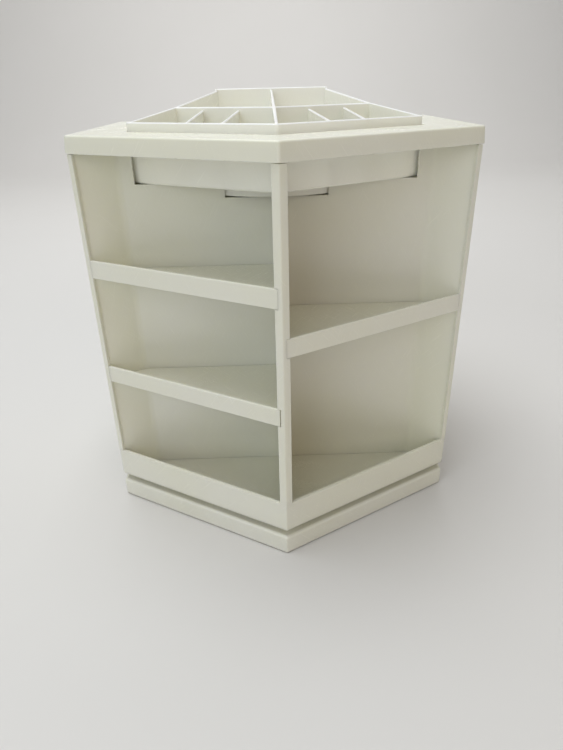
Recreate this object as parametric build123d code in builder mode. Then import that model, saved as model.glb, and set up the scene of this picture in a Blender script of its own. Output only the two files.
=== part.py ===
from build123d import *
from math import atan, cos, degrees, radians, sin, sqrt, tan
import os

# Rotating makeup organizer: a six-sided carousel of open shelves that turns on a ball bearing
# above its base, with a sloping tray that drops into its cap.
# Millimetres, +Z up, origin on the table under the spindle, front corner towards -Y.

# Whole object
body_flats = 284.0  # base and carousel across two opposite faces
deck_top = 300.0  # table to the top of the cap
wall = 2.4  # moulded skins of base, floor, core, shelves and cap
web = 3.0  # dividers and fins
corner_round = 1.5  # upright corners
play = 0.25  # gap round each shelf

# Base
base_height = 16.6
base_plate = 2.5
base_edge_round = 2.5
foot_stand = 1.0  # feet carry the base this far above the table
foot_radius = 8.0
foot_height = 3.0
foot_setback = 17.0  # foot's centre from the base's corner
foot_cup = 2.0  # wall of the cup that holds a foot
rib = 2.0
boss_radius = 14.0
boss_foot = 5.0  # underside of the boss above the table

# Bearing and spindle
ball_diameter = 3.0
ball_count = 12
ball_ring_radius = 50.0
ball_play = 0.15
cage_play = 0.1
race_thickness = 1.6
race_half_width = 6.0
race_spacing = 2.3  # between the facing sides of the two races
cage_thickness = 1.0
cage_half_width = 4.0
peg_radius = 2.0
peg_count = 3
peg_over = 1.0  # how far a peg stands through its plate
spindle_radius = 4.0
spindle_head_radius = 8.0
spindle_head = 2.0
spindle_nose = 2.5  # spindle above its clip
spindle_chamfer = 0.8
spindle_running = 0.05
bush_wall = 2.0
hub_radius = 12.0
hub_height = 12.5
washer_radius = 10.0
washer_thickness = 1.0
washer_lift = 0.3  # end play between hub and washer
clip_radius = 7.0
clip_thickness = 1.2
clip_groove = 0.8
clip_mouth = 5.0

# Carousel
floor_plate = 2.5
floor_edge_round = 2.5
floor_lip = 25.7  # height of the lip round the floor, from the underside
fin_depth = 28.6  # length of the short fins, core corner to corner post
divider_post = 5.5  # width of a divider's post on each face
fin_post = 4.0
post_end = 4.0  # how far the webs stop short of the outer corner
post_gap = 0.6  # open line between a post and the cap
ledge = 2.0
ledge_inset = 9.0
shelf_lip = 13.4
upper_opening = 73.2  # clear height under the cap on a face with two shelves
middle_opening = 72.7
single_opening = 107.1  # clear height under the cap on a face with one shelf
lip_root = 6.0  # depth over which the plate runs out into its lip
lip_bite = 2.7  # how far the lips are let into the dividers' posts
loose_end = 0.6  # extra gap at the divider end of the loosely fitted lower shelves
snap_slot_length = 4.0
snap_slot_height = 2.2
snap_slot_inset = 3.0  # slot's middle from the end of its web
snap_slot_drop = 4.0  # slot's underside below the top of the floor's lip
snap_slot_skin = 0.8  # left between the slots of a fin's two sides
notch_margin = 2.4  # front core wall's cut-out stops this far inside the tray's side corners
screw_radius = 1.5
screw_head_radius = 3.0
screw_head = 1.8
screw_length = 12.0
screw_spread = 50.0  # screw from the middle of its core wall
screw_boss_radius = 4.0
screw_boss_height = 16.0

# Cap
skirt_height = 11.6
deck_plate = 2.5
cap_overhang = 1.1
cap_edge_round = 1.2
cap_corner_round = 2.5

# Tray
tray_margin = 43.0  # from a corner of the carousel to the tray's corner
tray_drop = 35.0  # tray's underside below the top of the cap
tray_back_angle = 25.5  # back corners, either side of straight back
tray_wall = 2.2
tray_floor = 2.4
tray_play = 1.2  # in the walls that carry the tray
opening_play = 2.0  # in the cap
tray_corner_round = 3.0
tray_foot_round = 2.0
rim_front = 6.0  # rim above the cap along the front
rim_middle = 12.8  # where the cross wall meets the sides
rim_back = 25.2
rim_step = 1.8  # back wall stands this far above the side rims that run into it
cross_set_back = 92.4  # cross wall behind the two front walls, which it follows
cross_step = 0.3  # its top below the rim it meets
inner_divider_front = 34.8  # short dividers from the middle, at the front wall
inner_divider_back = 27.3  # and at the cross wall
outer_divider_front = 59.6
outer_divider_back = 56.5
divider_thickness = 1.8
divider_step = 2.1  # short dividers end this far below the cross wall's top
ring_step = 8.5  # locating ring stands this far out of the core walls
ring_depth = 9.5
ring_thickness = 3.0
ring_play = 1.3
ring_foot_play = 1.0

# Levels and radii that follow
lean = 60.0  # degrees between neighbouring corners
body_corner = body_flats / sqrt(3)
tub_under = base_height + 2 * race_thickness + race_spacing
floor_top = tub_under + floor_plate
lip_top = tub_under + floor_lip
skirt_under = deck_top - skirt_height
deck_under = deck_top - deck_plate
post_top = skirt_under - post_gap
web_end = body_corner - post_end
core_corner = web_end - fin_depth
core_face = (core_corner + web / 2 / tan(radians(lean / 2))) * sin(radians(lean / 2))
core_inner = core_face - wall
upper_shelf = skirt_under - upper_opening - shelf_lip
lower_shelf = upper_shelf - middle_opening - shelf_lip
single_shelf = skirt_under - single_opening - shelf_lip
ball_radius = ball_diameter / 2
ball_level = base_height + race_thickness + race_spacing / 2
hub_top = tub_under + hub_height
washer_under = hub_top + washer_lift
clip_under = washer_under + washer_thickness
spindle_top = clip_under + clip_thickness + spindle_nose
screw_line = core_inner - screw_boss_radius + wall / 2
tray_radius = body_corner - tray_margin
tray_under = deck_top - tray_drop
ring_outer = core_face + ring_step
ring_under = tray_under - ring_depth
cap_draft = degrees(atan(cap_overhang / skirt_height))
tray_high = deck_top + rim_back

# Each sector has one core wall, one divider and the two faces beside that divider
sectors = {"front": 0 * lean, "right": 2 * lean, "left": 4 * lean}
fins = {"left": -lean, "right": lean, "back": 3 * lean}
faces = {
    "front": ("front_left", "front_right"),
    "right": ("right", "back_right"),
    "left": ("back_left", "left"),
}


def around(radius, angle):
    return (radius * cos(radians(angle)), radius * sin(radians(angle)))


def turned(angle, level):
    return Plane.XY.rotated((0, 0, angle)).offset(level)


# Point of a carousel face in its sector's plane: along it from the divider's corner and in from it
def on_face(side, distance, depth):
    run = cos(radians(lean / 2))
    rise = sin(radians(lean / 2))
    return (side * (distance * run - depth * rise), -body_corner + distance * rise + depth * run)


def hexagon(flats, level, rounding=0.0):
    with BuildSketch(Plane.XY.offset(level)) as outline:
        RegularPolygon(flats / sqrt(3), 6, rotation=lean / 2)
        if rounding:
            fillet(outline.vertices(), rounding)
    return outline.sketch


# The tray's plan: the front corner, the two side corners and a narrower back
back_angle = 1.5 * lean
tray_angles = [-back_angle, -lean / 2, back_angle - tray_back_angle]
tray_angles += [back_angle + tray_back_angle, -2.5 * lean]
tray_corners = [around(tray_radius, angle) for angle in tray_angles]
tray_side_x, tray_side_y = tray_corners[1]
tray_back_x, tray_back_y = tray_corners[2]


# Point of the tray's plan at a distance behind its bent front
def behind_front(x, distance):
    return (x, abs(x) * tan(radians(lean / 2)) + distance - tray_radius)


side_slope = (tray_side_x - tray_back_x) / (tray_back_y - tray_side_y)
cross_middle_y = behind_front(0, cross_set_back)[1]
cross_end_x = tray_side_x - side_slope * (cross_middle_y - tray_side_y)
cross_end_x /= 1 + side_slope * tan(radians(lean / 2))
cross_end_y = behind_front(cross_end_x, cross_set_back)[1]


def tray_outline(grow, level, rounding=0.0):
    with BuildSketch(Plane.XY.offset(level)) as outline:
        with BuildLine():
            Polyline(*tray_corners, close=True)
        make_face()
        if grow:
            offset(amount=grow, kind=Kind.INTERSECTION)
        if rounding:
            fillet(outline.vertices(), rounding)
    return outline.sketch


def cut_tray_well():
    extrude(tray_outline(tray_play, tray_under), amount=deck_top - tray_under, mode=Mode.SUBTRACT)
    with BuildSketch(Plane.XY.offset(ring_under - ring_foot_play)) as ring_well:
        Circle(ring_outer + ring_play)
    extrude(ring_well.sketch, amount=ring_depth + ring_foot_play, mode=Mode.SUBTRACT)


# Base shell: hexagonal pan upside down, with foot cups, a boss for the spindle and ribs
with BuildPart() as base_shell:
    extrude(hexagon(body_flats, foot_stand, corner_round), amount=base_height - foot_stand)
    fillet(base_shell.faces().sort_by(Axis.Z)[-1].edges(), base_edge_round)
    hollow = base_height - foot_stand - base_plate
    extrude(hexagon(body_flats - 2 * wall, foot_stand), amount=hollow, mode=Mode.SUBTRACT)
    with BuildSketch(Plane.XY.offset(boss_foot)):
        Circle(boss_radius)
    extrude(amount=base_height - base_plate / 2 - boss_foot)
    rib_reach = body_flats / 2 - wall / 2 - boss_radius / 2
    with BuildSketch(Plane.XY.offset(boss_foot)):
        with PolarLocations(boss_radius / 2 + rib_reach / 2, 6):
            Rectangle(rib_reach, rib)
    extrude(amount=base_height - base_plate / 2 - boss_foot)
    with BuildSketch(Plane.XY.offset(foot_stand)):
        with PolarLocations(body_corner - foot_setback, 6, start_angle=lean / 2):
            Circle(foot_radius + foot_cup)
    extrude(amount=base_height - base_plate / 2 - foot_stand)
    with BuildSketch(Plane.XY.offset(foot_stand)):
        with PolarLocations(body_corner - foot_setback, 6, start_angle=lean / 2):
            Circle(foot_radius)
    extrude(amount=foot_height - foot_stand, mode=Mode.SUBTRACT)
    with Locations(Plane.XY.offset(base_height)):
        Hole(spindle_radius)
        with PolarLocations(ball_ring_radius, peg_count, start_angle=lean / 2):
            Hole(peg_radius)

# Rubber feet, one at each corner
with BuildPart() as rubber_feet:
    with BuildSketch(Plane.XY):
        with PolarLocations(body_corner - foot_setback, 6, start_angle=lean / 2):
            Circle(foot_radius)
    extrude(amount=foot_height)

# Spindle: headed pin with a groove for its clip
with BuildPart() as spindle:
    with BuildSketch(Plane.XY.offset(boss_foot - spindle_head)):
        Circle(spindle_head_radius)
    extrude(amount=spindle_head)
    with BuildSketch(Plane.XY.offset(boss_foot)):
        Circle(spindle_radius)
    extrude(amount=spindle_top - boss_foot)
    chamfer(spindle.edges().sort_by(Axis.Z)[-1], spindle_chamfer)
    with BuildSketch(Plane.XY.offset(clip_under)):
        Circle(spindle_radius + clip_groove)
        Circle(spindle_radius - clip_groove, mode=Mode.SUBTRACT)
    extrude(amount=clip_thickness, mode=Mode.SUBTRACT)

# Washer that keeps the hub down
with BuildPart() as thrust_washer:
    with BuildSketch(Plane.XY.offset(washer_under)):
        Circle(washer_radius)
        Circle(spindle_radius, mode=Mode.SUBTRACT)
    extrude(amount=washer_thickness)

# Open ring clip in the spindle's groove
with BuildPart() as retaining_clip:
    with BuildSketch(Plane.XY.offset(clip_under)):
        Circle(clip_radius)
        Circle(spindle_radius - clip_groove, mode=Mode.SUBTRACT)
        with Locations((0, -clip_radius)):
            Rectangle(clip_mouth, 2 * clip_radius, mode=Mode.SUBTRACT)
    extrude(amount=clip_thickness)


# Bearing race: a flat ring with a ball groove and pegs through its plate
def bearing_race(race_under, peg_under, peg_length):
    with BuildPart() as race:
        with BuildSketch(Plane.XY.offset(race_under)):
            Circle(ball_ring_radius + race_half_width)
            Circle(ball_ring_radius - race_half_width, mode=Mode.SUBTRACT)
        extrude(amount=race_thickness)
        with BuildSketch(Plane.XY.offset(peg_under)):
            with PolarLocations(ball_ring_radius, peg_count, start_angle=lean / 2):
                Circle(peg_radius)
        extrude(amount=peg_length)
        with BuildSketch(Plane.XZ):
            with Locations((ball_ring_radius, ball_level)):
                Circle(ball_radius + ball_play)
        revolve(axis=Axis.Z, mode=Mode.SUBTRACT)
    return race.part


peg_reach = base_plate + peg_over
lower_race = bearing_race(base_height, base_height - peg_reach, peg_reach)
upper_race = bearing_race(tub_under - race_thickness, tub_under, floor_plate + peg_over)

# Ball cage and its balls
with BuildPart() as ball_cage:
    with BuildSketch(Plane.XY.offset(ball_level - cage_thickness / 2)):
        Circle(ball_ring_radius + cage_half_width)
        Circle(ball_ring_radius - cage_half_width, mode=Mode.SUBTRACT)
        with PolarLocations(ball_ring_radius, ball_count):
            Circle(ball_radius + cage_play, mode=Mode.SUBTRACT)
    extrude(amount=cage_thickness)

with BuildPart() as bearing_balls:
    with Locations(Plane.XY.offset(ball_level)):
        with PolarLocations(ball_ring_radius, ball_count):
            Sphere(ball_radius)

# Sleeve in the hub
with BuildPart() as hub_bushing:
    with BuildSketch(Plane.XY.offset(tub_under)):
        Circle(spindle_radius + bush_wall)
        Circle(spindle_radius + spindle_running, mode=Mode.SUBTRACT)
    extrude(amount=hub_height)

# Floor tub: hexagonal floor with its tall lip, the hub and the holes for pegs and screws
with BuildPart() as floor_tub:
    extrude(hexagon(body_flats, tub_under, corner_round), amount=floor_lip)
    fillet(floor_tub.faces().sort_by(Axis.Z)[0].edges(), floor_edge_round)
    extrude(hexagon(body_flats - 2 * wall, floor_top), amount=floor_lip - floor_plate, mode=Mode.SUBTRACT)
    with BuildSketch(Plane.XY.offset(tub_under)):
        Circle(hub_radius)
    extrude(amount=hub_height)
    with Locations(Plane.XY.offset(hub_top)):
        Hole(spindle_radius + bush_wall)
    with Locations(Plane.XY.offset(floor_top)):
        with PolarLocations(ball_ring_radius, peg_count, start_angle=lean / 2):
            Hole(peg_radius)
    for angle in sectors.values():
        with BuildSketch(turned(angle, tub_under)):
            with Locations((-screw_spread, -screw_line), (screw_spread, -screw_line)):
                Circle(screw_radius)
        extrude(amount=floor_plate, mode=Mode.SUBTRACT)


# Core wall: mitred plate with screw bosses at its foot, cut out above for the tray and its ring
def core_wall(angle, notch_half):
    mitre = around(core_corner, lean / 2)
    outer = (mitre[0] - web / 2 * sin(radians(lean / 2)), core_face)
    inner = (core_inner / tan(radians(lean / 2)), core_inner)
    right_side = [outer, mitre, inner]
    left_side = [(-x, y) for x, y in reversed(right_side)]
    with BuildPart() as piece:
        with BuildSketch(turned(angle, floor_top)):
            with BuildLine():
                Polyline(*[(x, -y) for x, y in right_side + left_side], close=True)
            make_face()
        extrude(amount=deck_under - floor_top)
        with BuildSketch(turned(angle, floor_top)):
            with Locations((-screw_spread, -screw_line), (screw_spread, -screw_line)):
                Circle(screw_boss_radius)
        extrude(amount=screw_boss_height)
        with BuildSketch(turned(angle, floor_top)):
            with Locations((-screw_spread, -screw_line), (screw_spread, -screw_line)):
                Circle(screw_radius)
        extrude(amount=screw_length - floor_plate, mode=Mode.SUBTRACT)
        if notch_half:
            with BuildSketch(turned(angle, tray_under)):
                with Locations((0, -(core_face + core_inner) / 2)):
                    Rectangle(2 * notch_half, 2 * wall)
            extrude(amount=deck_under - tray_under, mode=Mode.SUBTRACT)
        cut_tray_well()
    return piece.part


# Screws that hold the core walls down
with BuildPart() as core_screws:
    for angle in sectors.values():
        with BuildSketch(turned(angle, tub_under - screw_head)):
            with Locations((-screw_spread, -screw_line), (screw_spread, -screw_line)):
                Circle(screw_head_radius)
        extrude(amount=screw_head)
        with BuildSketch(turned(angle, tub_under)):
            with Locations((-screw_spread, -screw_line), (screw_spread, -screw_line)):
                Circle(screw_radius)
        extrude(amount=screw_length)


# Upright wall along -Y of its turned plane: a web, its corner post and the ledges that carry shelves
def upright(angle, web_start, post_width, ledges_left, ledges_right, is_fin):
    corner = (0.0, -body_corner)
    inner_corner = (0.0, -body_corner + wall / cos(radians(lean / 2)))
    tip = (post_width * cos(radians(lean / 2)), -body_corner + post_width * sin(radians(lean / 2)))
    heel = (tip[0] - wall * sin(radians(lean / 2)), tip[1] + wall * cos(radians(lean / 2)))
    mirrored = [(-x, y) for x, y in (heel, tip)]
    outer_edge = turned(angle, lip_top).from_local_coords(corner)
    with BuildPart() as piece:
        with BuildSketch(turned(angle, floor_top)):
            with Locations((0, -(web_start + web_end) / 2)):
                Rectangle(web, web_end - web_start)
        extrude(amount=deck_under - floor_top)
        with BuildSketch(turned(angle, lip_top)) as post:
            with BuildLine():
                Polyline(corner, tip, heel, inner_corner, *mirrored, close=True)
            make_face()
            fillet(post.vertices().sort_by_distance(outer_edge)[0], corner_round)
            with Locations((0, -(web_end + body_corner - wall) / 2)):
                Rectangle(web, body_corner - wall - web_end)
        extrude(amount=post_top - lip_top)
        ledge_length = web_end - web_start - 2 * ledge_inset
        for side, levels in ((-1, ledges_left), (1, ledges_right)):
            for level in levels:
                with BuildSketch(turned(angle, level - ledge)):
                    with Locations((side * (web + ledge) / 2, -(web_start + web_end) / 2)):
                        Rectangle(ledge, ledge_length)
                extrude(amount=ledge)
                if not is_fin:
                    near = post_width - lip_bite
                    far = post_width + wall
                    notch = [on_face(side, near, -wall), on_face(side, far, -wall)]
                    notch += [on_face(side, far, wall + play), on_face(side, near, wall + play)]
                    with BuildSketch(turned(angle, level - play)):
                        with BuildLine():
                            Polyline(*notch, close=True)
                        make_face()
                    extrude(amount=shelf_lip + 2 * play, mode=Mode.SUBTRACT)
        if is_fin:
            with BuildSketch(turned(angle, lip_top - snap_slot_drop)):
                for side in (-1, 1):
                    with Locations((side * (snap_slot_skin + web) / 2, -web_end + snap_slot_inset)):
                        Rectangle(web, snap_slot_length)
            extrude(amount=snap_slot_height, mode=Mode.SUBTRACT)
        cut_tray_well()
    return piece.part


# Shelf: plate between core, fin and divider, with a lip between the two posts
def shelf(angle, side, under, end_gap):
    run = cos(radians(lean / 2))
    rise = sin(radians(lean / 2))
    beside = web / 2 + play
    back = core_face + play
    front = body_flats / 2 - wall - play
    lip_start = divider_post - lip_bite + play + end_gap
    lip_end = body_corner - fin_post - play

    def on_fin(reach):
        return (side * (reach * run - beside * rise), -reach * rise - beside * run)

    front_reach = (front - beside * rise) / run
    plate = [(side * beside, -back), on_fin((back - beside * run) / rise), on_fin(front_reach)]
    plate.append((side * beside, -front_reach))
    lip = [on_face(side, lip_start, 0), on_face(side, lip_end, 0)]
    root = lip + [on_face(side, lip_end - lip_root, lip_root), on_face(side, lip_start + lip_root, lip_root)]
    lip += [on_face(side, lip_end, wall), on_face(side, lip_start, wall)]
    with BuildPart() as piece:
        with BuildSketch(turned(angle, under)):
            for outline in (plate, root):
                with BuildLine():
                    Polyline(*outline, close=True)
                make_face()
        extrude(amount=wall)
        with BuildSketch(turned(angle, under)):
            with BuildLine():
                Polyline(*lip, close=True)
            make_face()
        extrude(amount=shelf_lip)
    return piece.part


# Cap: drafted hexagonal lid with a skirt, open where the tray drops in
with BuildPart() as top_deck:
    cap_flats = body_flats + 2 * cap_overhang
    extrude(hexagon(cap_flats, skirt_under, cap_corner_round), amount=skirt_height, taper=cap_draft)
    fillet(top_deck.faces().sort_by(Axis.Z)[-1].edges(), cap_edge_round)
    hollow = skirt_height - deck_plate
    extrude(hexagon(cap_flats - 2 * wall, skirt_under), amount=hollow, taper=cap_draft, mode=Mode.SUBTRACT)
    extrude(tray_outline(opening_play, deck_under), amount=deck_plate, mode=Mode.SUBTRACT)

# Tray: pan trimmed along the rising rim, then the bent cross wall, the sloping walls and the ring
with BuildPart() as tray:
    extrude(tray_outline(0, tray_under, tray_corner_round), amount=tray_high - tray_under)
    fillet(tray.faces().sort_by(Axis.Z)[0].edges(), tray_foot_round)
    hollow = tray_high - tray_under - tray_floor
    extrude(tray_outline(-tray_wall, tray_under + tray_floor), amount=hollow, mode=Mode.SUBTRACT)
    front_top = deck_top + rim_front
    cross_top = deck_top + rim_middle - cross_step
    side_top = tray_high - rim_step
    with BuildSketch(Plane.YZ):
        with BuildLine():
            Polyline(
                (-2 * tray_radius, front_top),
                (tray_side_y, front_top),
                (cross_end_y, deck_top + rim_middle),
                (tray_back_y - tray_wall, side_top),
                (tray_back_y - tray_wall, 2 * tray_high),
                (-2 * tray_radius, 2 * tray_high),
                close=True,
            )
        make_face()
    extrude(amount=2 * tray_radius, both=True, mode=Mode.SUBTRACT)
    inner_foot = tray_under + tray_floor / 2
    cross_half = tray_wall / 2 / cos(radians(lean / 2))
    cross_reach = cross_end_x - tray_wall / 2
    across = (-cross_reach, 0, cross_reach)
    cross_wall = [behind_front(x, cross_set_back - cross_half) for x in across]
    cross_wall += [behind_front(-x, cross_set_back + cross_half) for x in across]
    with BuildSketch(Plane.XY.offset(inner_foot)):
        with BuildLine():
            Polyline(*cross_wall, close=True)
        make_face()
    extrude(amount=cross_top - inner_foot)
    centre_end = (0, tray_back_y - tray_wall / 2)
    inner_walls = [(0.0, centre_end, side_top, tray_wall)]
    for side in (-1, 1):
        for front_x, back_x in (
            (side * inner_divider_front, side * inner_divider_back),
            (side * outer_divider_front, side * outer_divider_back),
        ):
            end = behind_front(back_x, cross_set_back)
            inner_walls.append((front_x, end, cross_top - divider_step, divider_thickness))
    for front_x, end, high_end, thickness in inner_walls:
        start = behind_front(front_x, tray_wall / 2)
        run_x = end[0] - start[0]
        run_y = end[1] - start[1]
        length = sqrt(run_x**2 + run_y**2)
        with BuildSketch(Plane((*start, 0), x_dir=(run_x, run_y, 0), z_dir=(run_y, -run_x, 0))):
            with BuildLine():
                slope = [(length, high_end), (0, front_top)]
                Polyline((0, inner_foot), (length, inner_foot), *slope, close=True)
            make_face()
        extrude(amount=thickness / 2, both=True)
    with BuildSketch(Plane.XY.offset(ring_under)):
        Circle(ring_outer)
        Circle(ring_outer - ring_thickness, mode=Mode.SUBTRACT)
    extrude(amount=ring_depth + tray_floor / 2)

# Collect the pieces under their names
pieces = {
    "base_shell": base_shell.part,
    "rubber_feet": rubber_feet.part,
    "lower_race": lower_race,
    "spindle": spindle.part,
    "thrust_washer": thrust_washer.part,
    "retaining_clip": retaining_clip.part,
    "ball_cage": ball_cage.part,
    "bearing_balls": bearing_balls.part,
    "upper_race": upper_race,
    "hub_bushing": hub_bushing.part,
    "floor_tub": floor_tub.part,
    "core_screws": core_screws.part,
    "top_deck": top_deck.part,
    "tray": tray.part,
}
two_ledges = (upper_shelf, lower_shelf)
one_ledge = (single_shelf,)
for name, angle in sectors.items():
    left_face, right_face = faces[name]
    notch_half = tray_side_x - notch_margin if name == "front" else 0.0
    pieces["core_wall_" + name] = core_wall(angle, notch_half)
    pieces["divider_" + name] = upright(angle, core_face, divider_post, two_ledges, one_ledge, False)
    pieces["shelf_" + left_face + "_upper"] = shelf(angle, -1, upper_shelf, 0.0)
    pieces["shelf_" + left_face + "_lower"] = shelf(angle, -1, lower_shelf, loose_end)
    pieces["shelf_" + right_face] = shelf(angle, 1, single_shelf, 0.0)
for name, angle in fins.items():
    pieces["fin_" + name] = upright(angle, core_corner, fin_post, one_ledge, two_ledges, True)

os.makedirs("parts", exist_ok=True)
for name, piece in pieces.items():
    piece.label = name
    export_step(piece, "parts/" + name + ".step")
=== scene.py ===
import math
import bmesh
import bpy
from mathutils import Matrix, Vector


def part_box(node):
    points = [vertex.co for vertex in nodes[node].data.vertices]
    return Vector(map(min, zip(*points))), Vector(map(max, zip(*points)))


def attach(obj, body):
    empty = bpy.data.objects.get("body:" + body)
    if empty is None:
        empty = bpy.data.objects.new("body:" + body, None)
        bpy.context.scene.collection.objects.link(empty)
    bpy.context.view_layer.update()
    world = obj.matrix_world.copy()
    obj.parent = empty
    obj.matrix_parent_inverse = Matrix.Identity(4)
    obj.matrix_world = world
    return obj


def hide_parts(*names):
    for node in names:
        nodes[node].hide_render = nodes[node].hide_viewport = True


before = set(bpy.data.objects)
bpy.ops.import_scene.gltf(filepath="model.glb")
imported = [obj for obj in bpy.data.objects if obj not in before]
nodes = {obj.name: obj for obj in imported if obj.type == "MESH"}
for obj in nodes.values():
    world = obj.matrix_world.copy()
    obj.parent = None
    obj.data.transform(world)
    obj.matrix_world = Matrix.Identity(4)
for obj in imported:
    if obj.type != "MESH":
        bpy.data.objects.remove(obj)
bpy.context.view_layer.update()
scene = bpy.context.scene
scene.view_settings.view_transform = "Standard"
print("frame loaded:", len(nodes), "nodes")

tiny = 1e-5  # places closer than this are the same
sameWay = 0.999  # cosine between directions that count as one
flatAngle = math.radians(0.5)  # faces that differ less are one face
bentAngle = math.radians(3)  # edges past this turn a corner
sharpAngle = math.radians(40)  # edges past this are rounded
smoothAngle = math.radians(50)  # shading breaks past this
margin = 0.001  # how far a cutting drum stands out of its piece
roomNeeded = 2.2  # length that a rounding needs beside it, in widths
sidewaysMost = 0.8  # cosine below which an edge leaves another sideways
up = (0, 0, 1)
down = (0, 0, -1)
hexTurn = math.radians(60)  # between neighbouring corners of the body
hexCorner = 1 / math.sqrt(3)  # corner radius of a hexagon one unit across flats


# Selecting and operators

def makeActive(piece):
    bpy.ops.object.select_all(action="DESELECT")
    piece.select_set(True)
    bpy.context.view_layer.objects.active = piece


def pick(piece, kind, wanted):  # opens the mesh with only the wanted elements selected
    makeActive(piece)
    bpy.ops.object.mode_set(mode="EDIT")
    bpy.ops.mesh.select_mode(type=kind)
    bpy.ops.mesh.select_all(action="DESELECT")
    mesh = bmesh.from_edit_mesh(piece.data)
    for item in {"VERT": mesh.verts, "EDGE": mesh.edges, "FACE": mesh.faces}[kind]:
        if wanted(item):
            item.select_set(True)
    mesh.select_flush_mode()
    bmesh.update_edit_mesh(piece.data)


def closeMesh():
    bpy.ops.object.mode_set(mode="OBJECT")


def everything(item):
    return True


def facing(direction, level=None):
    def wanted(face):
        if face.normal.dot(Vector(direction)) < sameWay:
            return False
        return level is None or abs(face.calc_center_median().z - level) < tiny
    return wanted


def atLevel(level):
    return lambda edge: all(abs(corner.co.z - level) < tiny for corner in edge.verts)


def upright(edge):
    ends = [corner.co for corner in edge.verts]
    return (ends[0].xy - ends[1].xy).length < tiny


def onCorner(edge):  # edges that run up over one corner of the hexagon
    first, second = [math.atan2(end.co.y, end.co.x) / hexTurn - 0.5 for end in edge.verts]
    slip = 0.001  # share of the angle between two corners
    if abs(first - second) > slip or abs(first - round(first)) > slip:
        return False
    return edge.calc_face_angle(0) > bentAngle


def bevelEdges(piece, width, wanted, segments):
    pick(piece, "EDGE", wanted)
    bpy.ops.mesh.bevel(offset=width, segments=segments)
    closeMesh()


def pull(move):  # extrudes what is selected
    bpy.ops.mesh.extrude_region_move(TRANSFORM_OT_translate={"value": move})


def splitFaces(piece, point, normal, wanted):
    pick(piece, "FACE", wanted)
    bpy.ops.mesh.bisect(plane_co=point, plane_no=normal)
    closeMesh()


def trimBeyond(piece, point, normal):  # cuts off what lies past a plane and closes the cut
    pick(piece, "VERT", everything)
    bpy.ops.mesh.bisect(plane_co=point, plane_no=normal, use_fill=True, clear_outer=True)
    closeMesh()


def settle(name):  # the new primitive's place and size go into its mesh
    piece = bpy.context.object
    piece.name = name
    piece.data.name = name
    bpy.ops.object.transform_apply(location=True, rotation=True, scale=True)
    return piece


def addBlock(name, low, high):
    middle = [(a + b) / 2 for a, b in zip(low, high)]
    bpy.ops.mesh.primitive_cube_add(size=1, location=middle)
    bpy.context.object.scale = [b - a for a, b in zip(low, high)]
    return settle(name)


def addDrum(name, radius, low, high, sides, place=(0, 0)):
    middle = (place[0], place[1], (low + high) / 2)
    bpy.ops.mesh.primitive_cylinder_add(vertices=sides, radius=radius, depth=high - low, location=middle)
    return settle(name)


def addOutline(name, corners, low, high, grow=0.0):  # block trimmed to a plan that runs anticlockwise
    reach = 2 * max(Vector(corner).length for corner in corners)
    block = addBlock(name, (-reach, -reach, low), (reach, reach, high))
    for start, end in zip(corners, corners[1:] + corners[:1]):
        along = Vector(end) - Vector(start)
        outward = Vector((along.y, -along.x)).normalized()
        edgePoint = Vector(start) + outward * grow
        trimBeyond(block, (edgePoint.x, edgePoint.y, low), (outward.x, outward.y, 0))
    return block


def applyModifier(piece, kind, **settings):
    makeActive(piece)
    modifier = piece.modifiers.new(kind.lower(), kind)
    for key, value in settings.items():
        setattr(modifier, key, value)
    bpy.ops.object.modifier_apply(modifier=modifier.name)


def combine(piece, other, operation):
    applyModifier(piece, "BOOLEAN", object=other, operation=operation, solver="EXACT")
    bpy.data.objects.remove(other)


def cleanMesh(piece):
    pick(piece, "VERT", everything)
    bpy.ops.mesh.remove_doubles(threshold=tiny)
    bpy.ops.mesh.dissolve_limited(angle_limit=flatAngle)
    bpy.ops.mesh.normals_make_consistent(inside=False)
    closeMesh()


def hasRoom(edge, width):  # the edges that leave it sideways are long enough for the rounding
    along = (edge.verts[1].co - edge.verts[0].co).normalized()
    for end in edge.verts:
        for other in end.link_edges:
            away = other.other_vert(end).co - end.co
            sideways = abs(away.normalized().dot(along)) < sidewaysMost
            if sideways and away.length < roomNeeded * width:
                return False
    return True


def softenEdges(piece, width, segments=2, keep=None):  # rounds the sharp edges and marks them for the paler colour of wear and a painted highlight
    def wanted(edge):
        if edge.calc_face_angle(0) < sharpAngle or (keep and keep(edge)):
            return False
        return hasRoom(edge, width)

    pick(piece, "EDGE", wanted)
    bpy.ops.mesh.bevel(offset=width, segments=segments)
    markSelected(piece)
    closeMesh()


def markSelected(piece):  # the selected faces get the paler colour of wear and a painted highlight in the plastic's material
    mesh = bmesh.from_edit_mesh(piece.data)
    wearAndHighlightLayer = mesh.faces.layers.float.get("edgeWearAndHighlight") or mesh.faces.layers.float.new("edgeWearAndHighlight")
    for face in mesh.faces:
        face[wearAndHighlightLayer] = 1.0 if face.select else 0.0
    bmesh.update_edit_mesh(piece.data)


def turnedCopy(piece, name, angle):
    makeActive(piece)
    bpy.ops.object.duplicate()
    bpy.context.object.rotation_euler.z = angle
    return settle(name)


def nodeCopy(node, name):  # a CAD node's own shape as a mesh to work on
    piece = bpy.data.objects.new(name, nodes[node].data.copy())
    scene.collection.objects.link(piece)
    makeActive(piece)
    bpy.ops.mesh.customdata_custom_splitnormals_clear()
    cleanMesh(piece)
    return piece


def finishPiece(piece, finish, body, slotName, *replaced):
    pick(piece, "VERT", everything)
    bpy.ops.mesh.dissolve_degenerate(threshold=tiny / 2)
    closeMesh()
    bpy.ops.object.shade_smooth_by_angle(angle=smoothAngle)
    applyModifier(piece, "WEIGHTED_NORMAL", keep_sharp=True)
    piece.data.materials.clear()
    piece.data.materials.append(finish)
    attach(piece, body)
    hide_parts(*replaced)


# Materials

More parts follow.
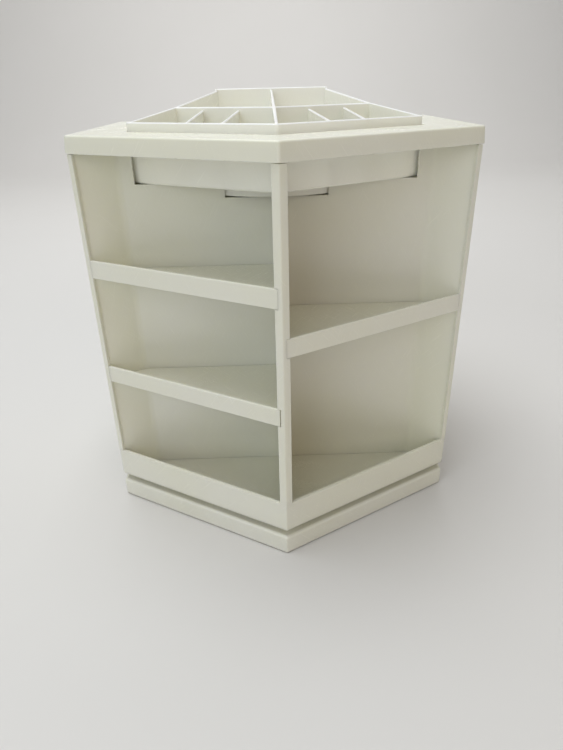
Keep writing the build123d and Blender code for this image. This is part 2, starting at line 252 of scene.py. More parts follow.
class Wire:  # a node's output that takes part in sums
    def __init__(self, finish, socket):
        self.finish = finish
        self.socket = socket

    def maths(self, operation, first, second):
        return self.finish.node("ShaderNodeMath", {"operation": operation}, {0: first, 1: second})

    def __add__(self, other):
        return self.maths("ADD", self, other)

    def __radd__(self, other):
        return self.maths("ADD", other, self)

    def __sub__(self, other):
        return self.maths("SUBTRACT", self, other)

    def __rsub__(self, other):
        return self.maths("SUBTRACT", other, self)

    def __mul__(self, other):
        return self.maths("MULTIPLY", self, other)

    def __rmul__(self, other):
        return self.maths("MULTIPLY", other, self)


class Finish:
    def __init__(self, name):
        self.material = bpy.data.materials.new(name)
        self.material.use_nodes = True
        self.tree = self.material.node_tree
        self.shader = self.tree.nodes["Principled BSDF"]
        self.place = self.node("ShaderNodeTexCoord", {}, {}, "Object")

    def plug(self, socket, value):
        if isinstance(value, Wire):
            self.tree.links.new(value.socket, socket)
        else:
            socket.default_value = value

    def node(self, kind, settings, sockets, output=0):
        made = self.tree.nodes.new(kind)
        for key, value in settings.items():
            setattr(made, key, value)
        for key, value in sockets.items():
            self.plug(made.inputs[key], value)
        return Wire(self, made.outputs[output])

    def surface(self, **sockets):
        for key, value in sockets.items():
            self.plug(self.shader.inputs[key.replace("_", " ")], value)

    def stretched(self, size, turn=(0, 0, 0)):  # for a pattern drawn out along its axes, then turned
        sockets = {"Vector": self.place, "Scale": size, "Rotation": turn}
        return self.node("ShaderNodeMapping", {"vector_type": "TEXTURE"}, sockets)

    def noise(self, scale, detail, where=None):
        sockets = {"Vector": where or self.place, "Scale": scale, "Detail": detail}
        return self.node("ShaderNodeTexNoise", {}, sockets, "Fac")

    def between(self, value, low, high):  # 0 at low, 1 at high, smooth
        sockets = {"Value": value, "From Min": low, "From Max": high}
        return self.node("ShaderNodeMapRange", {"interpolation_type": "SMOOTHSTEP"}, sockets)

    def part(self, vector, index):  # one of the three numbers of a vector or colour
        return self.node("ShaderNodeSeparateXYZ", {}, {"Vector": vector}, index)

    def mix(self, amount, first, second):
        return self.node("ShaderNodeMix", {"data_type": "RGBA"}, {0: amount, 6: first, 7: second}, 2)

    def bump(self, height, strength, distance, under=None):
        sockets = {"Height": height, "Strength": strength, "Distance": distance}
        if under:
            sockets["Normal"] = under
        return self.node("ShaderNodeBump", {}, sockets, "Normal")


def paint(red, green, blue):  # from the 0 to 255 numbers of a colour picker
    def linear(level):
        share = level / 255
        return share / 12.92 if share <= 0.04045 else ((share + 0.055) / 1.055) ** 2.4
    return (linear(red), linear(green), linear(blue), 1)


def mouldedPlastic(name, look):
    finish = Finish(name)
    cloud = finish.between(finish.noise(look["cloudScale"], detail=2), *look["cloudSpan"])
    smudges = finish.between(finish.noise(look["smudgeScale"], detail=2), *look["smudgeSpan"])
    grain = finish.noise(look["grainScale"], detail=3)
    flow = finish.noise(look["flowScale"], detail=3, where=finish.stretched(look["flowStretch"]))
    scratches = 0
    for turn in look["scratchTurns"]:
        field = finish.noise(scale=1, detail=1, where=finish.stretched(look["scratchSize"], turn))
        scratches = scratches + finish.between(field, *look["scratchSpan"])
    # specks of dirt, a few in each hand's width
    cells = {"Vector": finish.place, "Scale": look["speckScale"]}
    middle = finish.node("ShaderNodeTexVoronoi", {}, cells, "Distance")
    choice = finish.node("ShaderNodeTexVoronoi", {}, cells, "Color")
    picked = finish.between(finish.part(choice, 0), *look["speckChoice"])
    specks = picked * (1 - finish.between(middle, *look["speckEdge"]))
    # dust lies on what faces up; edges are paler, partly worn and partly a painted highlight
    level = finish.part(finish.node("ShaderNodeNewGeometry", {}, {}, "Normal"), 2)
    settled = finish.between(finish.noise(look["dustScale"], detail=2), *look["dustSpan"])
    dust = finish.between(level, *look["dustTilt"]) * settled
    edge = finish.node("ShaderNodeAttribute", {"attribute_name": "edgeWearAndHighlight"}, {}, "Fac")
    wearAndHighlight = edge * finish.between(finish.noise(look["wearAndHighlightScale"], detail=3), *look["wearAndHighlightSpan"])
    tone = finish.mix(cloud, look["colour"], look["aged"])
    tone = finish.mix(smudges * look["smudgeDepth"], tone, look["smudge"])
    tone = finish.mix(dust * look["dustDepth"], tone, look["dust"])
    # paler edges: wear plus a painted highlight
    tone = finish.mix(wearAndHighlight * look["wearAndHighlightDepth"], tone, look["wearAndHighlight"])
    tone = finish.mix(specks * look["speckDepth"], tone, look["speck"])
    rough = look["roughness"] + look["smudgeRough"] * smudges + look["dustRough"] * dust
    rough = rough + look["wearAndHighlightRough"] * wearAndHighlight + look["scratchRough"] * scratches + look["grainRough"] * grain
    peel = finish.bump(grain + look["flowDepth"] * flow, look["grainStrength"], look["grainHeight"])
    finish.surface(
        Base_Color=tone,
        Roughness=rough,
        Normal=finish.bump(scratches, look["scratchStrength"], look["scratchHeight"], peel),
        IOR=look["refraction"],
        Subsurface_Weight=look["glow"],
        Subsurface_Radius=look["glowReach"],
        Subsurface_Scale=1.0,
    )
    return finish.material


# a span gives the noise levels where a pattern starts and where it is full
ivoryLook = {
    "colour": paint(235, 234, 221),
    "aged": paint(233, 232, 215),
    "cloudScale": 7,
    "cloudSpan": (0.35, 0.65),
    "smudge": paint(212, 209, 195),
    "smudgeDepth": 0.035,
    "smudgeScale": 23,
    "smudgeSpan": (0.45, 0.85),
    "smudgeRough": 0.015,
    "dust": paint(216, 213, 204),
    "dustDepth": 0.03,
    "dustScale": 34,
    "dustSpan": (0.3, 0.8),
    "dustTilt": (0.75, 0.98),
    "dustRough": 0.015,
    # paler edge colour: wear, and partly a painted highlight
    "wearAndHighlight": paint(244, 244, 238),
    "wearAndHighlightDepth": 0.5,
    "wearAndHighlightScale": 90,
    "wearAndHighlightSpan": (0.4, 0.62),
    "wearAndHighlightRough": 0.1,
    "speck": paint(122, 112, 92),
    "speckDepth": 0.3,
    "speckScale": 70,
    "speckChoice": (0.93, 0.95),
    "speckEdge": (0.015, 0.035),
    "roughness": 0.24,
    "refraction": 1.5,
    "grainScale": 700,
    "grainStrength": 0.012,
    "grainHeight": 0.0003,
    "grainRough": 0.03,
    "flowScale": 45,
    "flowStretch": (1, 1, 4),
    "flowDepth": 0.2,
    "scratchSize": (0.02, 0.02, 0.0003),
    "scratchTurns": ((1.1, 0.3, 0.9), (0.4, -1.2, 0.2)),
    "scratchSpan": (0.69, 0.74),
    "scratchStrength": 0.03,
    "scratchHeight": 0.0001,
    "scratchRough": 0.04,
    "glow": 0.3,
    "glowReach": (0.005, 0.005, 0.004),
}
trayLook = dict(
    ivoryLook,
    colour=paint(246, 245, 235),
    aged=paint(244, 243, 230),
    # near white over almost the whole mark: a painted highlight on the tops of rim and walls, with little
    # wear
    wearAndHighlight=paint(253, 253, 252),
    wearAndHighlightDepth=0.95,
    wearAndHighlightSpan=(-1, 0.62),
    glow=0.4,
    glowReach=(0.008, 0.008, 0.007),
)
ivoryPlastic = mouldedPlastic("ivoryPlastic", ivoryLook)
trayPlastic = mouldedPlastic("trayPlastic", trayLook)


def rubber(name, look):
    finish = Finish(name)
    grain = finish.noise(look["grainScale"], detail=4)
    dust = finish.between(finish.noise(look["dustScale"], detail=3), *look["dustSpan"])
    finish.surface(
        Base_Color=finish.mix(dust * look["dustDepth"], look["colour"], look["dust"]),
        Roughness=look["roughness"] + look["grainRough"] * grain,
        Normal=finish.bump(grain, look["grainStrength"], look["grainHeight"]),
    )
    return finish.material


footRubber = rubber("footRubber", {
    "colour": paint(58, 57, 55),
    "dust": paint(120, 116, 108),
    "dustDepth": 0.35,
    "dustScale": 160,
    "dustSpan": (0.45, 0.7),
    "grainScale": 1400,
    "grainStrength": 0.2,
    "grainHeight": 0.0002,
    "grainRough": 0.1,
    "roughness": 0.72,
})


def ringedFinish(name, look):  # turned rings under a film that lies in patches
    finish = Finish(name)
    rings = finish.noise(look["ringScale"], look["ringDetail"], finish.stretched(look["ringStretch"]))
    film = finish.between(finish.noise(look["filmScale"], look["filmDetail"]), *look["filmSpan"])
    finish.surface(
        Base_Color=finish.mix(film * look["filmDepth"], look["colour"], look["film"]),
        Metallic=look["metal"],
        Roughness=look["roughness"] + look["filmRough"] * film + look["ringRough"] * rings,
        Normal=finish.bump(rings, look["ringStrength"], look["ringHeight"]),
    )
    return finish.material


bearingPlastic = ringedFinish("bearingPlastic", {
    "colour": paint(233, 232, 226),
    "metal": 0.0,
    "film": paint(214, 206, 182),  # grease
    "filmDepth": 0.5,
    "filmScale": 60,
    "filmDetail": 3,
    "filmSpan": (0.45, 0.65),
    "filmRough": -0.12,
    "ringScale": 120,
    "ringDetail": 2,
    "ringStretch": (1, 1, 0.03),
    "ringStrength": 0.08,
    "ringHeight": 0.0001,
    "ringRough": 0.06,
    "roughness": 0.38,
})
steel = ringedFinish("steel", {
    "colour": paint(196, 197, 199),
    "metal": 1.0,
    "film": paint(128, 118, 106),  # stains
    "filmDepth": 0.4,
    "filmScale": 180,
    "filmDetail": 4,
    "filmSpan": (0.55, 0.75),
    "filmRough": 0.15,
    "ringScale": 260,
    "ringDetail": 3,
    "ringStretch": (1, 1, 0.08),
    "ringStrength": 0.06,
    "ringHeight": 0.0001,
    "ringRough": 0.12,
    "roughness": 0.22,
})

# pieces that keep the frame's own shape
hiddenPieces = {
    "lower_race": bearingPlastic,
    "upper_race": bearingPlastic,
    "ball_cage": bearingPlastic,
    "hub_bushing": bearingPlastic,
    "bearing_balls": steel,
    "spindle": steel,
    "thrust_washer": steel,
    "retaining_clip": steel,
    "core_screws": steel,
}
for node, finish in hiddenPieces.items():
    for materialSlot in nodes[node].material_slots:
        materialSlot.material = finish
print("materials ready")


# Tray

trayPan = {
    "corner": 0.120967,  # spindle to each corner of the plan
    "angles": (-90, -30, 64.5, 115.5, 210),
    "cornerRound": 0.0021,
    "foot": 0.265,
    "footRound": 0.0019,
    "pocketFloor": 0.2674,
    "pocketRound": 0.0013,
    "wall": 0.0022,
    "crossSetBack": 0.0924,  # cross wall behind the two front walls, which it follows
    "rim": ((-0.055, 0.306), (0.0179, 0.3128), (0.105, 0.3234)),  # place from front to back, height
    "centreStart": -0.112,  # where the centre wall starts to rise
    "backTop": 0.3252,
    "edge": 0.0008,
    "rimBand": 0.002,  # how far below the dividers' front ends the rims still reach
    "ringOuter": 0.075483,
    "ringThickness": 0.003,
    "ringFoot": 0.2555,
    "ringSink": 0.0004,  # the ring's hollow ends this far inside the floor
    "ringSides": 96,
}
trayDivider = {
    "thickness": 0.0018,
    "foot": 0.2666,
    "places": ((0.0348, 0.0273), (0.0596, 0.0565)),  # off the middle, at the front wall and the cross wall
    "top": (0.3059, 0.3104),
}


def polar(radius, degrees):
    return (radius * math.cos(math.radians(degrees)), radius * math.sin(math.radians(degrees)))


trayCorners = [polar(trayPan["corner"], angle) for angle in trayPan["angles"]]


def behindFront(x, distance):  # place on the tray's plan at a distance behind its bent front
    return Vector((x, abs(x) * math.tan(hexTurn / 2) + distance - trayPan["corner"]))


def heightAlong(points, place):
    for (near, low), (far, high) in zip(points, points[1:]):
        if place < far:
            return low + (high - low) * max(0, place - near) / (far - near)
    return points[-1][1]


def trayZone(face):  # what a face of the tray's top belongs to
    middle = face.calc_center_median()
    for start, end in zip(trayCorners, trayCorners[1:] + trayCorners[:1]):
        along = (Vector(end) - Vector(start)).normalized()
        inward = Vector((-along.y, along.x)).dot(middle.xy - Vector(start))
        if inward < trayPan["wall"] - tiny:
            return "rim"
    behindCross = middle.y - behindFront(middle.x, trayPan["crossSetBack"]).y
    if min(abs(middle.x), abs(behindCross) * math.cos(hexTurn / 2)) < trayPan["wall"] / 2:
        return "wall"
    return "pocket"


def addDivider(name, start, end):
    along = end - start
    half = trayDivider["thickness"] / 2
    low, high = trayDivider["top"]
    block = addBlock(name, (-half, 0, trayDivider["foot"]), (half, along.length, high))
    pick(block, "VERT", lambda corner: corner.co.y < tiny and corner.co.z > high - tiny)
    bpy.ops.transform.translate(value=(0, 0, low - high))
    closeMesh()

    def topEdge(edge):
        return edge.calc_length() > along.length and not atLevel(trayDivider["foot"])(edge)

    bevelEdges(block, trayPan["edge"], topEdge, segments=3)
    block.location = (start.x, start.y, 0)
    block.rotation_euler.z = math.atan2(-along.x, along.y)
    makeActive(block)
    return settle(name)


def makeTray():
    rimFront = trayPan["rim"][0][1]
    rimBack = trayPan["rim"][-1]
    pocketFloor = trayPan["pocketFloor"]
    half = trayPan["wall"] / 2
    pan = addOutline("trayPan", trayCorners, trayPan["foot"], rimFront)
    pick(pan, "FACE", facing(up, rimFront))
    bpy.ops.mesh.inset(thickness=trayPan["wall"])
    closeMesh()
    bevelEdges(pan, trayPan["cornerRound"], upright, segments=6)
    bevelEdges(pan, trayPan["footRound"], atLevel(trayPan["foot"]), segments=4)

    def onTop(*zones):
        return lambda face: facing(up, rimFront)(face) and trayZone(face) in zones

    # the walls are drawn on the top before the pockets go down
    for place in (-half, half):
        splitFaces(pan, (place, 0, 0), (1, 0, 0), onTop("pocket", "wall"))
    crossMiddle = behindFront(0, trayPan["crossSetBack"])
    for side in (-1, 1):
        across = Vector((-side * math.sin(hexTurn / 2), math.cos(hexTurn / 2)))
        for shift in (-half, half):
            point = crossMiddle + across * shift
            splitFaces(
                pan, (point.x, point.y, 0), (across.x, across.y, 0),
                lambda face: onTop("pocket", "wall")(face) and side * face.calc_center_median().x > half,
            )
    for step in trayPan["rim"]:
        splitFaces(pan, (0, step[0], 0), (0, 1, 0), onTop("rim"))
    splitFaces(pan, (0, trayPan["centreStart"], 0), (0, 1, 0), onTop("wall"))
    pick(pan, "FACE", onTop("pocket"))
    pull((0, 0, pocketFloor - rimFront))
    closeMesh()
    # the rim and the centre wall rise to the back
    centreRise = ((trayPan["centreStart"], rimFront), rimBack)
    pick(pan, "VERT", everything)
    mesh = bmesh.from_edit_mesh(pan.data)
    for corner in mesh.verts:
        if abs(corner.co.z - rimFront) < tiny:
            rise = centreRise if abs(corner.co.x) < half + tiny else trayPan["rim"]
            corner.co.z = heightAlong(rise, corner.co.y)
    bmesh.update_edit_mesh(pan.data)
    closeMesh()
    pick(pan, "FACE", lambda face: facing(up)(face) and face.calc_center_median().y > rimBack[0])
    pull((0, 0, trayPan["backTop"] - rimBack[1]))
    closeMesh()
    cleanMesh(pan)
    bevelEdges(pan, trayPan["pocketRound"], atLevel(pocketFloor), segments=3)
    # locating ring under the floor
    middleFloor = (trayPan["foot"] + pocketFloor) / 2
    ring = addDrum("trayRing", trayPan["ringOuter"], trayPan["ringFoot"], middleFloor, trayPan["ringSides"])
    pick(ring, "FACE", facing(down))
    bpy.ops.mesh.inset(thickness=trayPan["ringThickness"])
    pull((0, 0, trayPan["foot"] + trayPan["ringSink"] - trayPan["ringFoot"]))
    closeMesh()
    bevelEdges(ring, trayPan["edge"], atLevel(trayPan["ringFoot"]), segments=3)
    combine(pan, ring, "UNION")
    cleanMesh(pan)
    rimLow = trayDivider["top"][0] - trayPan["rimBand"]

    def belowRim(edge):
        return min(end.co.z for end in edge.verts) < rimLow

    softenEdges(pan, trayPan["edge"], segments=3, keep=belowRim)
    for front, back in trayDivider["places"]:
        for side in (-1, 1):
            start = behindFront(side * front, half)
            end = behindFront(side * back, trayPan["crossSetBack"])
            combine(pan, addDivider("trayDivider", start, end), "UNION")
    cleanMesh(pan)
    # the tops of rim and walls are painted paler, a painted highlight
    facesUp = 0.2  # least upward part of their normals
    pick(pan, "FACE", lambda face: face.normal.z > facesUp and face.calc_center_median().z > rimLow)
    markSelected(pan)
    closeMesh()
    finishPiece(pan, trayPlastic, "tray", "tray_plastic", "tray")


makeTray()
print("tray modelled")


# Cap

capLid = {
    "flats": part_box("top_deck")[1].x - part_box("top_deck")[0].x,
    "topFlats": 0.284,
    "low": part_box("top_deck")[0].z,
    "high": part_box("top_deck")[1].z,
    "wall": 0.0024,
    "plate": 0.0025,
    "cornerRound": 0.00144,
    "edgeRound": 0.0013,
    "openingGap": 0.002,
    "edge": 0.0004,
}


def makeCap():
    low, high = capLid["low"], capLid["high"]
    lid = addDrum("capLid", capLid["flats"] * hexCorner, low, high, sides=6)
    pick(lid, "FACE", facing(up))
    taper = capLid["topFlats"] / capLid["flats"]
    bpy.ops.transform.resize(value=(taper, taper, 1), center_override=(0, 0, high))
    closeMesh()
    pick(lid, "FACE", facing(down))
    bpy.ops.mesh.inset(thickness=capLid["wall"])
    pull((0, 0, high - low - capLid["plate"]))
    taperInside = 1 - (1 - taper) * (high - low - capLid["plate"]) / (high - low)
    bpy.ops.transform.resize(value=(taperInside, taperInside, 1), center_override=(0, 0, high))
    closeMesh()
    bevelEdges(lid, capLid["cornerRound"], onCorner, segments=5)
    bevelEdges(lid, capLid["edgeRound"], atLevel(high), segments=4)
    opening = addOutline("opening", trayCorners, low, high + capLid["plate"], capLid["openingGap"])
    combine(lid, opening, "DIFFERENCE")
    cleanMesh(lid)
    softenEdges(lid, capLid["edge"])
    finishPiece(lid, ivoryPlastic, "carousel", "ivory_plastic", "top_deck")


makeCap()
print("cap modelled")


# Floor of the carousel, with its lip

floorPan = {
    "flats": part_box("floor_tub")[1].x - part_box("floor_tub")[0].x,
    "low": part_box("floor_tub")[0].z,
    "high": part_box("floor_tub")[1].z,
    "plate": 0.0025,
    "wall": 0.0024,
    "cornerRound": 0.00087,
    "footRound": 0.0025,
    "insideRound": 0.0016,
    "edge": 0.0005,
    "hub": 0.012,
    "hubRoot": 0.0005,  # the hub starts this far inside the plate
    "hubHeight": 0.0125,
    "bore": 0.006,
    "hubSides": 48,
}


def makeFloor():
    low, high = floorPan["low"], floorPan["high"]
    floorTop = low + floorPan["plate"]
    pan = addDrum("floorPan", floorPan["flats"] * hexCorner, low, high, sides=6)
    pick(pan, "FACE", facing(up))
    bpy.ops.mesh.inset(thickness=floorPan["wall"])
    pull((0, 0, floorTop - high))
    closeMesh()
    bevelEdges(pan, floorPan["footRound"], atLevel(low), segments=5)
    bevelEdges(pan, floorPan["insideRound"], atLevel(floorTop), segments=4)
    bevelEdges(pan, floorPan["cornerRound"], onCorner, segments=4)
    sides = floorPan["hubSides"]
    hub = addDrum("hub", floorPan["hub"], low + floorPan["hubRoot"], low + floorPan["hubHeight"], sides)
    combine(pan, hub, "UNION")
    bore = addDrum("bore", floorPan["bore"], low - margin, high, sides)
    combine(pan, bore, "DIFFERENCE")
    cleanMesh(pan)
    outerRadius = floorPan["flats"] / 2 - floorPan["wall"] / 2

    def outerRim(edge):  # the posts stand flush over it
        return atLevel(high)(edge) and all(end.co.xy.length > outerRadius for end in edge.verts)

    softenEdges(pan, floorPan["edge"], keep=outerRim)
    finishPiece(pan, ivoryPlastic, "carousel", "ivory_plastic", "floor_tub")


makeFloor()
print("floor modelled")


# Base

basePan = {
    "flats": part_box("base_shell")[1].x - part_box("base_shell")[0].x,
    "low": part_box("base_shell")[0].z,
    "high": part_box("base_shell")[1].z,
    "plate": 0.0025,
    "wall": 0.0024,
    "cornerRound": 0.00087,
    "topRound": 0.0025,
    "edge": 0.0004,
    "ribFoot": 0.005,
    "rib": 0.002,
    "boss": 0.014,
    "bossSides": 48,
    "cup": 0.010,
    "footRadius": 0.008,
    "footRing": 0.146967,  # spindle to each foot
    "footRecess": 0.003,
    "footDish": 0.0004,
    "footRims": (0.3, 0.25),  # widths of the ring and the dish, as shares of the radius
    "footEdge": 0.0005,
    "footSides": 40,
}
footPlaces = [polar(basePan["footRing"], 30 + 60 * turn) for turn in range(6)]


def makeBase():
    low, high = basePan["low"], basePan["high"]
    ceiling = high - basePan["plate"]
    pan = addDrum("basePan", basePan["flats"] * hexCorner, low, high, sides=6)
    pick(pan, "FACE", facing(down))
    bpy.ops.mesh.inset(thickness=basePan["wall"])
    pull((0, 0, ceiling - low))
    closeMesh()
    bevelEdges(pan, basePan["topRound"], atLevel(high), segments=5)
    bevelEdges(pan, basePan["cornerRound"], onCorner, segments=4)
    buried = ceiling + basePan["plate"] / 2
    reach = basePan["flats"] / 2 - basePan["wall"] / 2
    boss = addDrum("boss", basePan["boss"], basePan["ribFoot"], buried, basePan["bossSides"])
    half = basePan["rib"] / 2
    rib = addBlock("rib", (-reach, -half, basePan["ribFoot"]), (reach, half, buried))
    for turn in range(3):
        combine(boss, turnedCopy(rib, "ribTurned", turn * hexTurn), "UNION")
    bpy.data.objects.remove(rib)
    combine(pan, boss, "UNION")
    sides = basePan["footSides"]
    for place in footPlaces:
        combine(pan, addDrum("cup", basePan["cup"], low, buried, sides, place), "UNION")
    for place in footPlaces:
        recess = addDrum("recess", basePan["footRadius"], low - margin, basePan["footRecess"], sides, place)
        combine(pan, recess, "DIFFERENCE")
    cleanMesh(pan)
    softenEdges(pan, basePan["edge"])
    finishPiece(pan, ivoryPlastic, "base", "ivory_plastic", "base_shell")


def makeFeet():
    low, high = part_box("rubber_feet")[0].z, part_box("rubber_feet")[1].z
    radius = basePan["footRadius"]
    ringShare, dishShare = basePan["footRims"]
    first = addDrum("rubberFeet", radius, low, high, basePan["footSides"])
    pick(first, "FACE", facing(down))
    bpy.ops.mesh.inset(thickness=radius * ringShare)
    pull((0, 0, basePan["footDish"]))
    bpy.ops.mesh.inset(thickness=radius * dishShare)
    pull((0, 0, -basePan["footDish"]))
    closeMesh()
    softenEdges(first, basePan["footEdge"])
    feet = []
    for place in footPlaces:
        foot = turnedCopy(first, "foot", 0)
        foot.location = (place[0], place[1], 0)
        makeActive(foot)
        feet.append(settle("foot"))
    bpy.data.objects.remove(first)
    makeActive(feet[0])
    for foot in feet[1:]:
        foot.select_set(True)
    bpy.ops.object.join()
    finishPiece(settle("rubberFeet"), footRubber, "base", "foot_rubber", "rubber_feet")


makeBase()
makeFeet()
print("base modelled")


# Shelves: a plate with its lip, modelled for each level and copied to the other two sectors

shelfPlate = {
    "flats": floorPan["flats"],
    "wall": 0.0024,
    "web": 0.003,
    "coreFace": 0.066983,  # spindle to the core wall
    "gap": 0.00025,
    "dividerPost": 0.0055,
    "lipBite": 0.0027,  # let into the divider's post
    "lipTuck": 0.0006,  # lip's end past the plate's own corner
    "finPost": 0.004,
    "looseEnd": 0.0006,
    "lipEdge": 0.0007,
    "lipRoot": 0.0012,
    "edge": 0.0003,
}
sectors = {"front": 0, "right": 2 * hexTurn, "left": 4 * hexTurn}
faceNames = {
    "front": ("front_left", "front_right"),
    "right": ("right", "back_right"),
    "left": ("back_left", "left"),
}


def makeShelf(name, side, node, endGap):  # side is -1 left of the front divider, 1 right of it
    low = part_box(node)[0].z
    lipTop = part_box(node)[1].z
    wall, gap = shelfPlate["wall"], shelfPlate["gap"]
    half = shelfPlate["flats"] / 2
    corner = shelfPlate["flats"] * hexCorner
    outward = Vector((side * math.sin(hexTurn / 2), -math.cos(hexTurn / 2), 0))
    along = Vector((side * math.cos(hexTurn / 2), math.sin(hexTurn / 2), 0))
    finSide = Vector((side * math.sin(hexTurn / 2), math.cos(hexTurn / 2), 0))
    beside = shelfPlate["web"] / 2 + gap
    plate = addBlock(name, (-corner, -corner, low), (corner, 0, low + wall))
    trimBeyond(plate, (side * beside, 0, 0), (-side, 0, 0))
    trimBeyond(plate, (0, -shelfPlate["coreFace"] - gap, 0), (0, 1, 0))
    trimBeyond(plate, -finSide * beside, finSide)
    trimBeyond(plate, outward * (half - wall - gap), outward)
    # the lip is pulled out of the front between the posts, then up
    cornerPoint = Vector((0, -corner, 0))
    tuck = shelfPlate["lipTuck"]
    lipStart = shelfPlate["dividerPost"] - shelfPlate["lipBite"] + gap + endGap + tuck
    lipEnd = corner - shelfPlate["finPost"] - gap
    for distance in (lipStart, lipEnd):
        splitFaces(plate, cornerPoint + along * distance, along, facing(outward))

    def lipFront(face):
        place = (face.calc_center_median() - cornerPoint).dot(along)
        return facing(outward)(face) and lipStart < place < lipEnd

    pick(plate, "FACE", lipFront)
    pull(outward * gap)
    pull(outward * wall)
    closeMesh()

    def lipTopFace(face):
        return facing(up)(face) and face.calc_center_median().dot(outward) > half - wall

    pick(plate, "FACE", lipTopFace)
    pull((0, 0, lipTop - low - wall))
    closeMesh()

    def lipEndFace(face):
        return facing(-along)(face) and face.calc_center_median().dot(outward) > half - wall

    pick(plate, "FACE", lipEndFace)
    pull(-along * tuck)
    closeMesh()
    cleanMesh(plate)

    def lipRim(edge):
        return atLevel(lipTop)(edge) and abs((edge.verts[0].co - edge.verts[1].co).dot(along)) > wall

    def lipFoot(edge):
        middle = (edge.verts[0].co + edge.verts[1].co) / 2
        return atLevel(low + wall)(edge) and abs(middle.dot(outward) - half + wall) < tiny

    def lipEnds(edge):  # they meet the posts
        place = (edge.verts[0].co - cornerPoint).dot(along)
        return upright(edge) and (place < lipStart or place > lipEnd - tiny)

    bevelEdges(plate, shelfPlate["lipEdge"], lipRim, segments=3)
    bevelEdges(plate, shelfPlate["lipRoot"], lipFoot, segments=3)
    softenEdges(plate, shelfPlate["edge"], keep=lipEnds)
    return plate


shelfKinds = (  # side of the divider, ending of the nodes' names, gap at the lip's end
    (-1, "_upper", 0),
    (-1, "_lower", shelfPlate["looseEnd"]),
    (1, "", 0),
)
for side, ending, endGap in shelfKinds:
    whichFace = 0 if side < 0 else 1
    pattern = makeShelf("shelfPattern", side, "shelf_" + faceNames["front"][whichFace] + ending, endGap)
    for sector, angle in sectors.items():
        node = "shelf_" + faceNames[sector][whichFace] + ending
        plate = turnedCopy(pattern, "plate_" + faceNames[sector][whichFace] + ending, angle)
        finishPiece(plate, ivoryPlastic, "carousel", "ivory_plastic", node)
    bpy.data.objects.remove(pattern)
print("shelves modelled")


# Tower: core walls, dividers and fins as one moulding

towerWalls = {
    "walls": ("core_wall", "divider"),
    "fins": ("fin_left", "fin_right", "fin_back"),
    "finAngles": (-150, -30, 90),
    "web": 0.003,
    "coreCorner": 0.131367,  # spindle to where a fin leaves the core
    "coveReach": 0.003,
    "coveMatch": 0.0002,  # how near an edge must stand to a core corner
    "postReach": 0.1555,  # spindle to the posts
    "notchReach": 0.162,  # and to the bottom of the notches for the shelves' lips
    "edge": 0.0004,
}


def makeTower():
    parts = [wall + "_" + sector for wall in towerWalls["walls"] for sector in sectors]
    parts.extend(towerWalls["fins"])
    tower = nodeCopy(parts[0], "shelfTower")
    for node in parts[1:]:
        combine(tower, nodeCopy(node, "towerPart"), "UNION")
    cleanMesh(tower)
    coves = []
    for angle in towerWalls["finAngles"]:
        out = Vector(polar(1, angle))
        for side in (-1, 1):
            coves.append(out * towerWalls["coreCorner"] + out.orthogonal() * side * towerWalls["web"] / 2)

    def inCove(edge):
        spread = [(edge.verts[0].co.xy - spot).length for spot in coves]
        return upright(edge) and min(spread) < towerWalls["coveMatch"]

    bevelEdges(tower, towerWalls["coveReach"], inCove, segments=5)

    def atJoint(edge):  # on the floor, or where a post meets the floor's lip or a shelf's
        if atLevel(floorPan["low"] + floorPan["plate"])(edge):
            return True
        reach = min(end.co.xy.length for end in edge.verts)
        return reach > (towerWalls["notchReach"] if upright(edge) else towerWalls["postReach"])

    softenEdges(tower, towerWalls["edge"], keep=atJoint)
    finishPiece(tower, ivoryPlastic, "carousel", "ivory_plastic", *parts)


makeTower()
print("tower modelled")


# Floor, lights and camera

studio = {
    "floor": paint(214, 212, 208),
    "floorMottle": paint(217, 215, 212),
    "mottleScale": 3,
    "floorRoughness": 0.6,
    "floorSize": 8.0,
    "wallDistance": 3.2,
    "wallCurve": 1.2,  # radius where the floor turns up
    "skyStrength": 0.2,
    "object": (0, 0, 0.15),
    "backdrop": (0, 3.2, 1.0),
    "lamps": (  # name, place, what it is turned to, size, power, colour
        ("topLamp", (-0.4, 0.0, 2.3), "object", 1.5, 37, (0.94, 0.97, 1.0)),
        ("fillLamp", (-0.9, -1.6, 0.9), "object", 1.4, 9.5, (0.9, 0.96, 1.0)),
        ("rightLamp", (1.0, -1.5, 0.9), "object", 1.2, 3.8, (1.0, 0.76, 0.56)),
        ("backdropLamp", (0, 1.6, 2.6), "backdrop", 2.5, 44, (1.0, 1.0, 1.0)),
    ),
}
cameraSet = {
    "place": (-0.007345, -0.496209, 0.326030),
    "yaw": math.radians(1.0283),
    "pitch": math.radians(26.9594),
    "roll": math.radians(1.3258),
    "focalPixels": 567.05,
    "framePixels": 750,
    "sensor": 36,
}


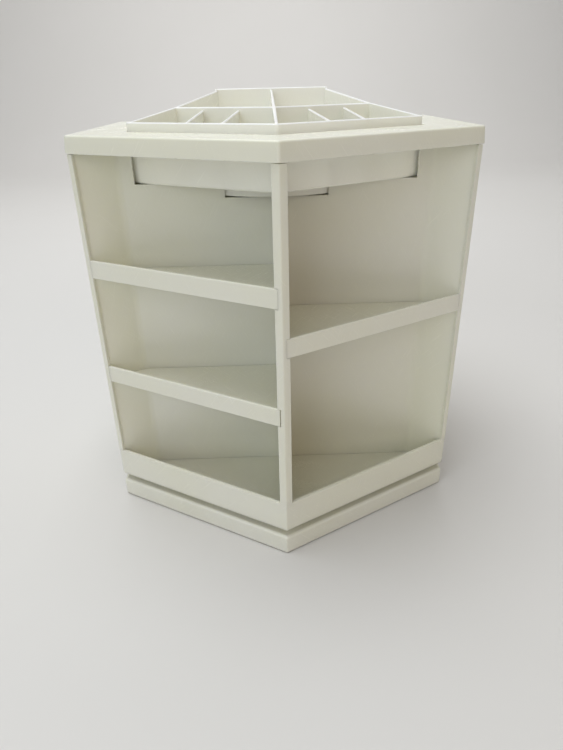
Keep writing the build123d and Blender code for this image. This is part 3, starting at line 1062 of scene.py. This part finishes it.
def makeStudio():
    size = studio["floorSize"]
    bpy.ops.mesh.primitive_plane_add(size=size, location=(0, studio["wallDistance"] - size / 2, 0))
    sweep = settle("studioFloor")
    pick(sweep, "EDGE", lambda edge: all(end.co.y > studio["wallDistance"] - tiny for end in edge.verts))
    pull((0, 0, size / 2))
    closeMesh()
    bevelEdges(sweep, studio["wallCurve"], lambda edge: len(edge.link_faces) == 2, segments=12)
    makeActive(sweep)
    bpy.ops.object.shade_smooth()
    ground = Finish("studioGround")
    mottle = ground.noise(studio["mottleScale"], detail=2)
    tone = ground.mix(mottle, studio["floor"], studio["floorMottle"])
    ground.surface(Base_Color=tone, Roughness=studio["floorRoughness"])
    sweep.data.materials.append(ground.material)
    world = scene.world or bpy.data.worlds.new("studioWorld")
    scene.world = world
    world.use_nodes = True
    sky = world.node_tree.nodes["Background"]
    sky.inputs["Color"].default_value = (1, 1, 1, 1)
    sky.inputs["Strength"].default_value = studio["skyStrength"]
    for name, place, aim, lampSize, power, colour in studio["lamps"]:
        bpy.ops.object.light_add(type="AREA", location=place)
        lamp = bpy.context.object
        lamp.name = name
        lamp.data.size = lampSize
        lamp.data.energy = power
        lamp.data.color = colour
        lamp.rotation_euler = (Vector(studio[aim]) - Vector(place)).to_track_quat("-Z", "Y").to_euler()


def makeCamera():
    yaw, pitch, roll = cameraSet["yaw"], cameraSet["pitch"], cameraSet["roll"]
    aim = Vector((math.sin(yaw) * math.cos(pitch), math.cos(yaw) * math.cos(pitch), -math.sin(pitch)))
    level = Vector((math.cos(yaw), -math.sin(yaw), 0))
    drop = aim.cross(level)
    right = level * math.cos(roll) + drop * math.sin(roll)
    below = drop * math.cos(roll) - level * math.sin(roll)
    bpy.ops.object.camera_add()
    camera = bpy.context.object
    camera.name = "photoCamera"
    turn = Matrix((right, -below, -aim)).transposed().to_4x4()
    camera.matrix_world = Matrix.Translation(cameraSet["place"]) @ turn
    camera.data.sensor_width = cameraSet["sensor"]
    camera.data.lens = cameraSet["focalPixels"] / cameraSet["framePixels"] * cameraSet["sensor"]
    scene.camera = camera


makeStudio()
makeCamera()
print("studio and camera placed")
